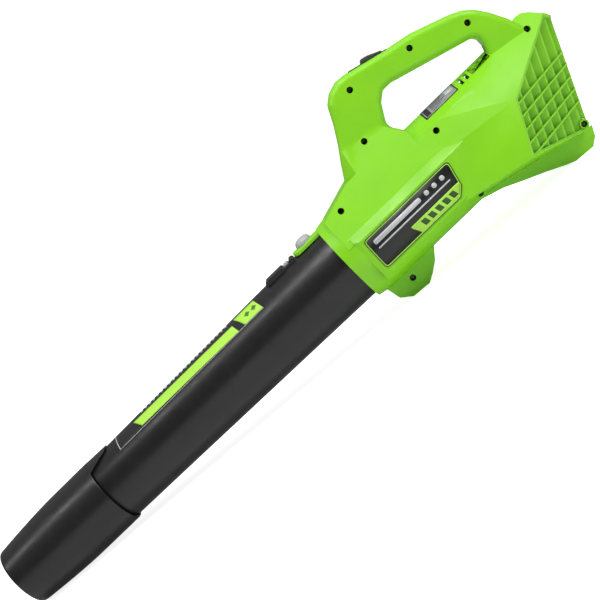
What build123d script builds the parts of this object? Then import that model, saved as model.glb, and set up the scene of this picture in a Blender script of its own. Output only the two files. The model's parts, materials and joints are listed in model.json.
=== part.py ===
from build123d import *
import os
from math import atan, cos, degrees, radians, sin, tan

# Cordless leaf blower: clamshell housing with a loop handle, axial fan, straight tube and nozzle.
# Modelled with the air axis along +X (towards the nozzle), +Y the tool's left, +Z up to the handle.
# At the end every piece is tilted as one, so that the foot and the keel stand on z = 0.

# Driving dimensions, mm
WALL = 2.6                 # housing wall
BARREL_R = 52.0            # fan barrel of the housing
COLLAR_R = 49.5            # front rim of the housing
COLLAR_X = 70.0            # front plane of the housing
PAD_Y = 54.0               # flat side pads that carry the badges
ROOF_Z = 60.0              # body top under the hand loop
ROOF_CROWN = 21.8          # slope of both roof sides, degrees
HANDLE_HALF = 17.0         # half thickness of the loop
HANDLE_ROUND = 7.5         # edge rounding of the loop
KEEL_HALF = 13.0
FOOT_HALF = 12.0
TUBE_REAR_X = 14.0
TUBE_FRONT_X = 455.0
TUBE_REAR_R = 45.0         # outside radius where the tube leaves the collar
TUBE_FRONT_R = 38.6
TUBE_WALL = 2.3
SPIGOT_R = 44.0            # tube end inside the collar
NOZZLE_REAR_X = 428.0
NOZZLE_TIP_X = 571.0
NOZZLE_R = 41.8
NOZZLE_TIP_R = 36.0
NOZZLE_BORE_R = 33.5
NOZZLE_LAND = 14.0         # straight bore at the tip
DUCT_R = 41.6              # air duct around the fan
FAN_R = 41.0
FAN_REAR_X = -44.0
FAN_FRONT_X = -14.0
FAN_HUB_R = 19.0
BLADE_COUNT = 9
VANE_COUNT = 7
MOTOR_R = 17.5
MOTOR_REAR_X = -6.0
MOTOR_FRONT_X = 46.0
SHAFT_R = 2.5
SHAFT_FIT = 0.03           # radial clearance of a shaft in its bearing
HUB_R = 21.0               # motor pod in the duct
SCREW_R = 2.0
SCREW_HEAD_R = 3.4
SCREW_HOLE_R = 3.6         # counterbore over each screw head
BOSS_R = 5.2
BUTTON_X = 89.0
BUTTON_R = 10.0
BUTTON_TRAVEL = 3.5
TONGUE_HALF = 14.5         # latch tongue of the housing over the tube
TONGUE_X = 106.0
SLIDER_ORIGIN = (-94.0, 0, 139.4)
SLIDER_SLOPE = 13.45
SLIDER_TRAVEL = 12.0
REST_TILT = degrees(atan(0.0717))
FOOT_POINT = (33.0, -76.0) # x, z of the foot's sole below the air axis
ORIGIN_SHIFT = 155.23       # brings the middle of the length over the origin

# Screws that close the housing: x, z and the depth y of the outer skin of the left half
HOUSING_SCREWS = [
    (36.0, 47.6, 36.0),
    (-32.5, 82.0, 22.0),
    (-59.0, 131.0, 17.0),
    (-134.0, 118.5, 17.0),
    (-195.5, 95.0, 17.0),
    (-93.5, 39.0, 41.0),
    (-236.0, 46.5, 18.0),
    (-212.5, -69.0, 13.0),
    (-82.5, -43.0, 30.0),
    (31.0, -60.0, 12.0),
]
SCREW_SEAT_Y = 6.5         # underside of every screw head
SCREW_TIP_Y = -9.0


def half_space(shape, point, normal, inset=0.0):
    """Keep the part of a shape that lies behind a plane moved inwards by the inset."""
    unit = Vector(*normal).normalized()
    origin = Vector(*point) - unit * inset
    return shape.split(Plane(origin=origin, z_dir=unit), keep=Keep.BOTTOM)


def side_plate(points, half, inset=0.0):
    """Extrude an outline in the XZ plane to both sides of the mid plane."""
    face = make_face(Polyline(*[(x, z) for x, z in points], close=True))
    if inset:
        face = offset(face, amount=-inset, kind=Kind.INTERSECTION)
    upright = Plane(origin=(0, 0, 0), x_dir=(1, 0, 0), z_dir=(0, -1, 0))
    return extrude(upright * face, amount=half - inset, both=True)


def x_tube(radius, x0, x1):
    """A solid cylinder on the air axis from x0 to x1."""
    return Pos((x0 + x1) / 2, 0, 0) * Rot(0, 90, 0) * Cylinder(radius, abs(x1 - x0))


def x_turned(points):
    """A solid of revolution about the air axis from (x, r) points."""
    face = make_face(Polyline(*[(x, 0, r) for x, r in points], close=True))
    return revolve(face, Axis.X)


def y_pin(radius, x, z, y0, y1):
    """A solid cylinder across the tool from y0 to y1."""
    return Pos(x, (y0 + y1) / 2, z) * Rot(90, 0, 0) * Cylinder(radius, abs(y1 - y0))


# Housing envelope

RIDGE_POINT = (-172.0, 65.0, 8.0)
SIDE_SLOPE = Vector(0, 59, 27).normalized()
REAR_TOP = (-265.0, 38.5)
REAR_LOW = (-221.0, -63.0)
POST_HALF = 6.0
WINDOW_FRAME = 1.7
GRILLE_DEPTH = 9.0
GRILLE_RIM = 1.4
GRILLE_POST = 3.6
GRILLE_PITCH = 9.2


def facet_normal(a, b, c):
    """Unit normal of the plane through three points, turned towards +Y."""
    first = Vector(*b) - Vector(*a)
    second = Vector(*c) - Vector(*a)
    normal = first.cross(second).normalized()
    return normal if normal.Y > 0 else normal * -1


RIDGE_FRONT = (-114.0, 42.7, 40.0)
BELLY_CORNER = (-143.0, 69.0, -47.0)
SHOULDER_FACET = facet_normal(RIDGE_POINT, (-238, 12, 51), RIDGE_FRONT)
SIDE_FACET = Vector(0.132, 1, 0.4577).normalized()
FLANK_FACET = facet_normal(RIDGE_POINT, (-90, 54, -10), (-109, 54, 12))
GRILLE_FACET = facet_normal(
    RIDGE_POINT, (REAR_TOP[0], POST_HALF, REAR_TOP[1]), (REAR_LOW[0], POST_HALF, REAR_LOW[1])
)
BELLY_FACET = facet_normal(BELLY_CORNER, (-195, 12, -72), (-95, 50, -41))


def mirrored(shape, point, normal, inset=0.0):
    """Cut a shape with a plane and with its mirror image in the mid plane."""
    shape = half_space(shape, point, tuple(normal), inset)
    other_point = (point[0], -point[1], point[2])
    other_normal = (normal.X, -normal.Y, normal.Z)
    return half_space(shape, other_point, other_normal, inset)


def barrel(inset):
    """Round fan barrel with its coned front collar."""
    r = BARREL_R - inset
    rim = COLLAR_R - inset
    return x_turned([(-112 + inset, 0), (-112 + inset, r), (56, r), (COLLAR_X, rim), (COLLAR_X, 0)])


def side_pads(inset):
    """Flat pads on both sides, chamfered above and below."""
    y = PAD_Y - inset
    low = 2.0 * inset / 3.0
    section = [(y, -31 + low), (y, 13 - low), (47 - inset, 22 - low), (-(47 - inset), 22 - low),
               (-y, 13 - low), (-y, -31 + low), (-(40 - inset), -40 + low), (40 - inset, -40 + low)]
    across = Plane(origin=(-138 + inset, 0, 0), x_dir=(0, 1, 0), z_dir=(1, 0, 0))
    face = across * make_face(Polyline(*section, close=True))
    pad = extrude(face, amount=138 - inset + 50)
    pad = mirrored(pad, (50, PAD_Y - 2.5, 0), Vector(0.5, 1, 0).normalized(), inset)
    return mirrored(pad, (-100, PAD_Y, 0), Vector(-0.12, 1, 0).normalized(), inset)


def roof_clearance(inset):
    """Space above the crowned roof under the hand loop, as one wedge on each side."""
    slab = Pos(-138, 25, 25) * Box(134 + 2 * inset, 150, 50)
    left = Pos(0, 0, ROOF_Z - inset / cos(radians(ROOF_CROWN))) * Rot(-ROOF_CROWN, 0, 0) * slab
    return left + mirror(left, about=Plane.XZ)


def column(inset):
    """Sloping sides that rise from the barrel to the handle, with bevelled front corners."""
    outline = [(12, 14), (12, 64), (1.5, 80), (-6, 91), (-52, 91), (-59, 77), (-71, 58), (-84, ROOF_Z),
               (-150, ROOF_Z), (-150, 14)]
    block = side_plate(outline, 60, inset) - roof_clearance(inset)
    block = mirrored(block, (0, 20, 81), SIDE_SLOPE, inset)
    return mirrored(block, (-6, 19.5, 82), Vector(0.805, 0.75, 0.5).normalized(), inset)


def ramp(inset):
    """Ramp from the collar up to the foot of the column, bevelled along its top."""
    block = side_plate([(58, 14), (58, 50), (13, 63.5), (-40, 66), (-40, 14)], 60, inset)
    block = mirrored(block, (0, 20, 81), SIDE_SLOPE, inset)
    return mirrored(block, (36, 25, 56.5), Vector(0.22, 0.62, 0.75).normalized(), inset)


def rear_body(inset):
    """Faceted rear body behind the barrel, ending in a bow shaped intake."""
    outline = [(-50, ROOF_Z), (-228, ROOF_Z), (-240, 65), (-250, 58), (-262, 44), REAR_TOP, REAR_LOW,
               (-205, -76), (-50, -76)]
    block = side_plate(outline, 90, inset) - roof_clearance(inset)
    for facet in (SHOULDER_FACET, SIDE_FACET, FLANK_FACET, GRILLE_FACET):
        block = mirrored(block, RIDGE_POINT, facet, inset)
    return mirrored(block, BELLY_CORNER, BELLY_FACET, inset)


# Outline corners as x, z and corner radius
HANDLE_OUTLINE = [
    (14, 61, 0), (2, 80, 30), (-10, 97, 30), (-21, 115, 30), (-31, 135, 10), (-41, 143, 8), (-54, 147, 9),
    (-66, 146, 9), (-112, 135, 30), (-146, 128.5, 40), (-187, 114.5, 20), (-200, 108.5, 16),
    (-211, 99, 16), (-220, 86, 20), (-229, 69, 0), (-236, 50, 0), (-220, 30, 0), (-40, 30, 0),
    (5, 40, 0),
]
LOOP_OUTLINE = [
    (-61, 76, 12), (-73, 57.5, 0), (-78, 45, 0), (-186, 45, 0), (-193, 66, 5), (-193, 74, 5),
    (-188, 80, 10), (-95, 106, 6), (-84, 106, 6), (-74, 98, 8),
]


def rounded_plate(corners, half, grow):
    """Plate from an outline with rounded corners; the outline grows by the given amount."""
    face = make_face(Polyline(*[(x, z) for x, z, radius in corners], close=True))
    for x, z, radius in corners:
        if radius:
            corner = face.vertices().sort_by_distance((x, z, 0))[0]
            face = fillet([corner], radius=radius)
    if grow:
        face = offset(face, amount=grow, kind=Kind.INTERSECTION)
    upright = Plane(origin=(0, 0, 0), x_dir=(1, 0, 0), z_dir=(0, -1, 0))
    return extrude(upright * face, amount=half, both=True)


def handle(inset):
    """Loop handle with rounded edges."""
    half = HANDLE_HALF - inset
    slab = rounded_plate(HANDLE_OUTLINE, half, -inset) - rounded_plate(LOOP_OUTLINE, 80, inset)
    rims = [e for e in slab.edges() if abs(abs(e.center().Y) - half) < 0.01 and e.center().Z > 42]
    return fillet(ShapeList(rims), radius=HANDLE_ROUND - inset)


def sole(x):
    """Height of the surface that the blower stands on, below the air axis."""
    return FOOT_POINT[1] + tan(radians(REST_TILT)) * (x - FOOT_POINT[0])


KEEL_OUTLINE = [
    (-82, -40), (-82, -51), (-105, -58), (-127, -68), (-148, -77), (-169, -87), (-180, sole(-180)),
    (-203, sole(-203)), (-212, -86), (-222, -66), (-220, -56), (-205, -52), (-190, -50),
]
FOOT_OUTLINE = [
    (-12, -40), (-9, -51), (1, -63), (12, -71), (22, sole(22)), (44, sole(44)), (56, -66), (60, -49),
    (58, -40),
]


def envelope(inset):
    """Whole outer form of the housing, every face moved inwards by the inset."""
    body = barrel(inset) + side_pads(inset) + column(inset) + ramp(inset) + rear_body(inset)
    body = body + handle(inset)
    body = body + side_plate(KEEL_OUTLINE, KEEL_HALF, inset)
    body = body + side_plate(FOOT_OUTLINE, FOOT_HALF, inset)
    return body


# Housing halves

def tube_radius(x):
    """Outside radius of the tapered tube in front of the collar."""
    share = (x - COLLAR_X) / (TUBE_FRONT_X - COLLAR_X)
    return TUBE_REAR_R + (TUBE_FRONT_R - TUBE_REAR_R) * share


def intake_window(gap, depth):
    """Layer behind both rear facets, leaving a frame of the housing around it."""
    block = Pos(-225, 0, -5) * Box(180, 180, 150)
    frame = WINDOW_FRAME + gap
    for facet in (SHOULDER_FACET, SIDE_FACET, FLANK_FACET):
        block = mirrored(block, RIDGE_POINT, facet, frame)
    block = mirrored(block, BELLY_CORNER, BELLY_FACET, frame)
    block = half_space(block, (REAR_TOP[0], 0, REAR_TOP[1]), (-25, 0, 27), frame)
    block = half_space(block, (0, 0, ROOF_Z), (0, 0, 1), frame) - roof_clearance(frame)
    return block - mirrored(block, RIDGE_POINT, GRILLE_FACET, depth)


def ring_rib(x, inner, width=3.0):
    """Ring inside the barrel that carries the duct or the tube."""
    return x_turned([(x, inner), (x, BARREL_R - 1.2), (x + width, BARREL_R - 1.2), (x + width, inner)])


def latch_tongue():
    """Tongue of the collar that lies over the tube and frames the lock button."""
    ring = x_turned([(60, 45.7), (60, 48.6), (TONGUE_X, 48.6), (TONGUE_X, 45.7)])
    outline = Pos((TONGUE_X + 55) / 2, 0, 48) * Box(TONGUE_X - 55, 2 * TONGUE_HALF, 20)
    corners = [e for e in outline.edges().filter_by(Axis.Z) if e.center().X > 100]
    return ring & fillet(ShapeList(corners), radius=8)


def slider_place(x, z):
    """Position on the slanted top of the handle, x forwards and z out of the surface."""
    return Pos(*SLIDER_ORIGIN) * Rot(0, -SLIDER_SLOPE, 0) * Pos(x, 0, z)


def inner_ribs():
    """Bosses, rings and rails on the inside of the shell."""
    ribs = ring_rib(-48, 44.35) + ring_rib(6, 44.35) + ring_rib(20, SPIGOT_R + 0.05)
    ribs = ribs + ring_rib(42, SPIGOT_R + 0.05)
    front = x_turned([(61, 45.05), (61, 49), (69, 48), (69, 45.05)])
    ribs = ribs + front
    for x, z, skin in HOUSING_SCREWS:
        ribs = ribs + y_pin(BOSS_R, x, z, -skin, skin)
    for x in (-104, -168):
        ribs = ribs + Pos(x, 0, 40.5) * Box(4, 130, 3)
    return ribs & envelope(WALL / 2)


def housing():
    """The whole hollow housing, before it is split at the mid plane."""
    shell = envelope(0.0) - envelope(WALL)
    shell = shell - intake_window(0.0, WALL + 1.5)
    shell = shell - (intake_window(0.0, GRILLE_DEPTH + 0.5) & Pos(-245, 0, 0) * Box(90, 14, 160))
    shell = shell + inner_ribs() + latch_tongue()
    shell = shell - x_tube(DUCT_R + 2.7, -75, 5) - x_tube(SPIGOT_R + 0.05, 13, 60.9)
    for index in range(6):
        for side in (-1, 1):
            shell = shell - Pos(-149 - 7.6 * index, 11 * side, ROOF_Z) * Box(3.8, 16 - 0.8 * index, 24)
    shell = shell - slider_place(0, 0) * Box(47, 17.4, 3.2)
    shell = shell - slider_place(0, -4) * Box(36, 12.4, 12)
    shell = shell - Pos(BUTTON_X, 0, 48) * Cylinder(BUTTON_R + 0.4, 12)
    for x, z, skin in HOUSING_SCREWS:
        shell = shell - y_pin(SCREW_HOLE_R, x, z, SCREW_SEAT_Y, skin + 6)
        shell = shell - y_pin(SCREW_R + 0.02, x, z, SCREW_TIP_Y - 1, SCREW_SEAT_Y)
    return shell


def split_halves(shell):
    """Left half (+Y) and right half (-Y) with a hairline seam between them."""
    left = half_space(shell, (0, 0.02, 0), (0, -1, 0))
    right = half_space(shell, (0, -0.02, 0), (0, 1, 0))
    return left, right


def housing_screws():
    """Ten pan head screws with cross recesses, all driven from the left."""
    screws = []
    for x, z, skin in HOUSING_SCREWS:
        head = y_pin(SCREW_HEAD_R, x, z, SCREW_SEAT_Y, SCREW_SEAT_Y + 2.4)
        for width, height in ((3.6, 0.9), (0.9, 3.6)):
            head = head - Pos(x, SCREW_SEAT_Y + 2.4, z) * Box(width, 2.4, height)
        screws.append(head + y_pin(SCREW_R, x, z, SCREW_TIP_Y, SCREW_SEAT_Y))
    return Compound(screws)


def intake_grille():
    """Framed egg crate of thin upright plates and level ribs that fills the bow shaped intake."""
    slab = intake_window(0.15, WALL + 1.3) + (intake_window(0.15, GRILLE_DEPTH) & envelope(WALL + 0.2))
    slab = mirrored(slab, RIDGE_POINT, GRILLE_FACET, 0.6)
    slab = half_space(slab, (REAR_TOP[0], 0, REAR_TOP[1]), (-101.5, 0, -44), 0.6)
    rim = slab - intake_window(0.15 + GRILLE_RIM, 40)
    post = slab & Pos(-245, 0, 0) * Box(90, 2 * GRILLE_POST, 160)
    plates = [Pos(-200, GRILLE_PITCH * index, 0) * Box(200, 1.6, 200) for index in range(-8, 9)]
    ribs = [Pos(-200, 0, 2 - 12.5 * index) * Box(200, 200, 1.8) for index in range(5)]
    upright = mirrored(slab, RIDGE_POINT, GRILLE_FACET, 2.5) & Compound(plates)
    level = (slab - mirrored(slab, RIDGE_POINT, GRILLE_FACET, 5.0)) & Compound(ribs)
    grille = rim + post + upright + level
    for x, z, skin in HOUSING_SCREWS[6:8]:
        grille = grille - y_pin(BOSS_R + 0.3, x, z, -skin, skin)
    return grille.solids().sort_by(SortBy.VOLUME)[-1]


# Tube and nozzle

def blower_tube():
    """Tapered tube with a stepped spigot, the cup of the lock button and the latch block."""
    rear_in = SPIGOT_R - TUBE_WALL
    tube = x_turned([
        (TUBE_REAR_X, rear_in), (TUBE_REAR_X, SPIGOT_R), (60.8, SPIGOT_R), (60.8, TUBE_REAR_R - 0.1),
        (COLLAR_X, TUBE_REAR_R - 0.1), (TUBE_FRONT_X, TUBE_FRONT_R), (TUBE_FRONT_X, TUBE_FRONT_R - TUBE_WALL),
        (COLLAR_X, TUBE_REAR_R - TUBE_WALL - 0.6),
    ])
    cup = Pos(BUTTON_X, 0, 36.9) * Cylinder(BUTTON_R + 3.4, 11.8)
    block = Pos(129, 0, 42) * Box(42, 26, 11) - Pos(119, 0, 47) * Box(9, 30, 4.5)
    block = chamfer(block.edges().filter_by(Axis.X), length=2.0) - x_tube(41.5, 100, 160)
    tube = tube + cup + block
    return tube - Pos(BUTTON_X, 0, 40) * Cylinder(BUTTON_R + 2.0, 12)


def nozzle():
    """Push-on nozzle with a top tongue, tapering to a straight bore."""
    gap = 0.3
    shell = x_turned([
        (NOZZLE_REAR_X, tube_radius(NOZZLE_REAR_X) + gap), (NOZZLE_REAR_X, NOZZLE_R - 0.5),
        (NOZZLE_REAR_X + 6, NOZZLE_R), (486, NOZZLE_R - 0.2), (526, 39.8), (560, 37.2),
        (NOZZLE_TIP_X - 2, NOZZLE_TIP_R), (NOZZLE_TIP_X, NOZZLE_TIP_R - 1), (NOZZLE_TIP_X, NOZZLE_BORE_R),
        (NOZZLE_TIP_X - NOZZLE_LAND, NOZZLE_BORE_R), (TUBE_FRONT_X + 4, TUBE_FRONT_R - TUBE_WALL),
        (TUBE_FRONT_X + gap, TUBE_FRONT_R - TUBE_WALL), (TUBE_FRONT_X + gap, TUBE_FRONT_R + gap),
    ])
    tongue = x_turned([
        (401, tube_radius(401) + gap), (401, NOZZLE_R - 1.2), (NOZZLE_REAR_X, NOZZLE_R - 0.5),
        (NOZZLE_REAR_X + 2, NOZZLE_R - 0.5), (NOZZLE_REAR_X + 2, tube_radius(NOZZLE_REAR_X) + gap),
    ])
    tongue = tongue & Pos(415, 0, 40) * Box(40, 60, 28)
    return shell + tongue


def lock_button():
    """Domed push button with a flange under the latch tongue."""
    stem = Pos(BUTTON_X, 0, 47.9) * Cylinder(BUTTON_R, 14.8)
    top = stem.edges().filter_by(GeomType.CIRCLE).sort_by(Axis.Z)[-1]
    stem = fillet(ShapeList([top]), radius=6.5)
    flange = Pos(BUTTON_X, 0, 41.5) * Cylinder(BUTTON_R + 1.6, 2.4)
    flange = flange & x_tube(44.9, 60, 110)
    return stem + flange - Pos(BUTTON_X, 0, 40.5) * Cylinder(5.4, 3)


def button_spring():
    """Compression spring under the lock button."""
    path = Helix(pitch=1.7, height=6.2, radius=4.3, center=(BUTTON_X, 0, 34.8))
    wire = path.location_at(0) * Circle(0.4)
    return sweep(wire, path=path)


# Fan and motor

def fan_duct():
    """Duct ring with inlet bell, straightening vanes and the motor pod."""
    ring = x_turned([
        (-66, 46.6), (-66, 48.6), (-60, 47), (-50, 44.2), (13.8, 44.2), (13.8, DUCT_R), (-50, DUCT_R),
        (-60, 44),
    ])
    pod = x_turned([
        (-10, SHAFT_R + 5), (-10, HUB_R - 3), (-7, HUB_R), (50, HUB_R), (50, MOTOR_R + 0.1),
        (-7, MOTOR_R + 0.1), (-7, SHAFT_R + 5),
    ])
    duct = ring + pod
    for index in range(VANE_COUNT):
        turn = 360 * index / VANE_COUNT
        vane = Pos(1.5, 0, 31.5) * Rot(0, 0, 12) * Box(20, 2.0, 23)
        duct = duct + Rot(turn, 0, 0) * vane
    duct = duct & x_tube(60, -70, 60)
    for side in (-1, 1):
        duct = duct - Pos(0, 0, 12 * side) * x_tube(1.6, -15, 0)
    return duct


def fan_blade():
    """One twisted blade, from inside the hub to beyond the tip circle."""
    sections = []
    for radius, chord, stagger in ((FAN_HUB_R - 1.5, 27, 38), (30, 29, 52), (FAN_R + 1, 31, 60)):
        plane = Plane(origin=((FAN_REAR_X + FAN_FRONT_X) / 2, 0, radius), x_dir=(1, 0, 0), z_dir=(0, 0, 1))
        profile = Rot(0, 0, stagger) * make_face(
            ThreePointArc((-chord / 2, 0), (0, 3.2), (chord / 2, 0))
            + ThreePointArc((chord / 2, 0), (0, 1.2), (-chord / 2, 0))
        )
        sections.append(plane * profile)
    return loft(sections)


def fan_impeller():
    """Axial impeller: cup hub, core and twisted blades."""
    hub = x_turned([
        (FAN_REAR_X, SHAFT_R + SHAFT_FIT), (FAN_REAR_X, FAN_HUB_R - 7), (FAN_REAR_X + 5, FAN_HUB_R - 2),
        (FAN_REAR_X + 11, FAN_HUB_R), (FAN_FRONT_X, FAN_HUB_R), (FAN_FRONT_X, FAN_HUB_R - 2.2),
        (FAN_REAR_X + 12, FAN_HUB_R - 2.2), (FAN_REAR_X + 6, 8), (FAN_FRONT_X - 1, 8),
        (FAN_FRONT_X - 1, SHAFT_R + SHAFT_FIT),
    ])
    blade = fan_blade()
    fan = hub
    limit = x_turned([
        (FAN_REAR_X, FAN_HUB_R - 1), (FAN_REAR_X, FAN_R), (FAN_FRONT_X, FAN_R), (FAN_FRONT_X, FAN_HUB_R - 1),
    ])
    blade = blade & limit
    for index in range(BLADE_COUNT):
        fan = fan + Rot(360 * index / BLADE_COUNT, 0, 0) * blade
    return fan


def fan_nut():
    """Hexagon nut with a washer face that clamps the impeller."""
    hexagon = Plane(origin=(FAN_REAR_X - 4.6, 0, 0), z_dir=(1, 0, 0)) * RegularPolygon(4.6, 6)
    nut = extrude(hexagon, amount=3.8) + x_tube(6, FAN_REAR_X - 1, FAN_REAR_X)
    return nut - x_tube(SHAFT_R + SHAFT_FIT, FAN_REAR_X - 6, FAN_REAR_X + 1)


def motor_shaft():
    """Steel shaft that carries the rotor and the impeller."""
    shaft = x_tube(SHAFT_R, FAN_REAR_X - 6, 43)
    ends = shaft.edges().filter_by(GeomType.CIRCLE)
    return chamfer(ends, length=0.4)


def motor_rotor():
    """Laminated rotor core with winding heads and slots."""
    core = x_tube(10.5, 6, 30) + x_tube(8.6, 3, 6) + x_tube(8.6, 30, 34)
    for index in range(6):
        slot = Pos(18, 0, 9.5) * Box(24.2, 2.2, 5)
        core = core - Rot(60 * index, 0, 0) * slot
    return core - x_tube(SHAFT_R + SHAFT_FIT, 0, 40)


def motor_can():
    """Drawn steel can with a seat for the rear bearing."""
    rear = -7.0
    can = x_turned([
        (rear, SHAFT_R + 1.5), (rear, MOTOR_R), (44, MOTOR_R), (44, MOTOR_R - 1.4), (rear + 6, MOTOR_R - 1.4),
        (rear + 6, 6.55), (rear + 1.2, 6.55), (rear + 1.2, SHAFT_R + 1.5),
    ])
    for side in (-1, 1):
        can = can - Pos(0, 0, 12 * side) * x_tube(1.52, -12, 0)
    return can


def motor_magnets():
    """Two arc magnets inside the can."""
    ring = x_turned([(4, 11.4), (4, 16.05), (32, 16.05), (32, 11.4)])
    return ring - Pos(18, 0, 0) * Box(40, 12, 60)


def motor_end_cap():
    """Front cap of the motor with a seat for the front bearing and two terminals."""
    cap = x_turned([
        (39, 6.55), (39, MOTOR_R - 1.45), (44, MOTOR_R - 1.45), (44, SHAFT_R + 1.5),
        (43.2, SHAFT_R + 1.5), (43.2, 6.55),
    ])
    for side in (-1, 1):
        cap = cap + Pos(44.9, 11 * side, 0) * Box(2, 3, 5)
    return cap


def bearing(x):
    """Ball bearing, 5 mm bore, 5 mm wide."""
    outer = x_turned([(x, 5.4), (x, 6.5), (x + 4.7, 6.5), (x + 4.7, 5.4)])
    inner = x_turned([(x, SHAFT_R + SHAFT_FIT), (x, 3.8), (x + 4.7, 3.8), (x + 4.7, SHAFT_R + SHAFT_FIT)])
    shield = x_turned([(x + 0.4, 3.7), (x + 0.4, 5.5), (x + 4.3, 5.5), (x + 4.3, 3.7)])
    return outer + inner + shield


def motor_screws():
    """Two screws that hold the motor in the pod."""
    screws = []
    for side in (-1, 1):
        head = x_tube(2.7, -11.9, -10)
        screws.append(Pos(0, 0, 12 * side) * (head + x_tube(1.5, -10, -2)))
    return Compound(screws)


def tail_cone():
    """Hollow streamlined cone that closes the motor pod."""
    return x_turned([
        (46, 15.5), (46, MOTOR_R), (50, MOTOR_R), (50, HUB_R), (62, HUB_R - 0.8), (78, HUB_R - 4.2),
        (94, HUB_R - 10.5), (104, HUB_R - 17), (107, 0), (104.5, 0), (101, 3), (92, 9.2), (76, 14.8),
        (60, 18),  (52, 18.2), (51, 15.5),
    ])


# Controls, board, labels

def slider_plate():
    """Dark bezel of the speed slider with its slot."""
    plate = slider_place(0, -0.45) * Box(46.6, 17, 2.3)
    return plate - slider_place(2, -0.8) * Box(22.8, 5.4, 4)


def slider_knob():
    """Ribbed thumb slider with a steep front, a long rear slope and a stem through the bezel."""
    profile = [(8, 0.9), (6.5, 4.0), (4, 5.2), (-3, 5.0), (-17, 2.4), (-18, 0.9)]
    knob = slider_place(0, 0) * side_plate(profile, 6.5)
    for index in range(5):
        knob = knob - slider_place(3 - 2.6 * index, 5.6) * Box(1.1, 16, 1.6)
    return knob + slider_place(-4, -0.7) * Box(10, 4.6, 4.8)


def switch_body():
    """Sliding speed control inside the handle."""
    body = slider_place(0, -9.5) * Box(34, 12, 10)
    return body - slider_place(2, -5.5) * Box(22.8, 5.4, 5)


def control_board():
    """Circuit board with capacitor, heat sink and connectors."""
    board = Pos(-136, 0, 42.8) * Box(74, 36, 1.6)
    cap = Pos(-116, 6, 46) * Rot(0, 90, 0) * Cylinder(2.6, 16)
    sink = Pos(-152, 0, 45.4) * Box(20, 24, 4)
    socket = Pos(-113, -8, 45.6) * Box(10, 14, 4.4)
    return board + cap + sink + socket


def badge(side):
    """Side badge with a slanted rear end."""
    outline = [(42, 10.5), (43, -27.5), (-64, -27.5), (-73, -19), (-80, 10.5)]
    upright = Plane(origin=(0, 0, 0), x_dir=(1, 0, 0), z_dir=(0, -1, 0))
    face = make_face(Polyline(*outline, close=True))
    face = fillet(face.vertices(), radius=3.5)
    plate = extrude(upright * face, amount=-(PAD_Y + 0.7)) - extrude(upright * face, amount=-PAD_Y)
    return plate if side > 0 else mirror(plate, about=Plane.XZ)


def rating_label():
    """Rating plate under the hand."""
    plate = Pos(-118, 10.2, 0.3) * Box(46, 24.4, 0.6)
    left = Pos(0, 0, ROOF_Z) * Rot(-ROOF_CROWN, 0, 0) * plate
    left = half_space(left, (0, 0, 0), (0, -1, 0))
    return left + mirror(left, about=Plane.XZ)


def tube_decal():
    """Thin printed film over the top of the tube."""
    film = x_turned([
        (165, tube_radius(165) - 0.1), (165, tube_radius(165) + 0.25), (386, tube_radius(386) + 0.25),
        (386, tube_radius(386) - 0.1),
    ])
    film = film - x_turned([
        (160, 0), (160, tube_radius(160)), (390, tube_radius(390)), (390, 0),
    ])
    return film & Pos(275, 0, 40) * Box(230, 58, 30)


# Placing and writing

def standing(shape):
    """Tilt a piece so that foot and keel stand on z = 0, with the origin under the middle."""
    low = -FOOT_POINT[0] * sin(radians(REST_TILT)) + FOOT_POINT[1] * cos(radians(REST_TILT))
    solids = Compound(shape).solids() if isinstance(shape, list) else shape.solids()
    piece = solids[0] if len(solids) == 1 else Compound(list(solids))
    return Pos(-ORIGIN_SHIFT, 0, -low) * Rot(0, REST_TILT, 0) * piece


def main():
    """Write every piece as its own file."""
    left, right = split_halves(housing())
    pieces = {
        "housing_left": left,
        "housing_right": right,
        "housing_screws": housing_screws(),
        "intake_grille": intake_grille(),
        "blower_tube": blower_tube(),
        "nozzle": nozzle(),
        "lock_button": lock_button(),
        "button_spring": button_spring(),
        "fan_duct": fan_duct(),
        "fan_impeller": fan_impeller(),
        "fan_nut": fan_nut(),
        "motor_shaft": motor_shaft(),
        "motor_rotor": motor_rotor(),
        "motor_can": motor_can(),
        "motor_magnets": motor_magnets(),
        "motor_end_cap": motor_end_cap(),
        "bearing_rear": bearing(-5.8),
        "bearing_front": bearing(38.5),
        "motor_screws": motor_screws(),
        "tail_cone": tail_cone(),
        "slider_plate": slider_plate(),
        "slider_knob": slider_knob(),
        "switch_body": switch_body(),
        "control_board": control_board(),
        "badge_left": badge(1),
        "badge_right": badge(-1),
        "rating_label": rating_label(),
        "tube_decal": tube_decal(),
    }
    os.makedirs("parts", exist_ok=True)
    for name, shape in pieces.items():
        export_step(standing(shape), f"parts/{name}.step")


if __name__ == "__main__":
    main()
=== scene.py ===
import bmesh
import bpy
import json
import math
from mathutils import Matrix, Vector


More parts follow.
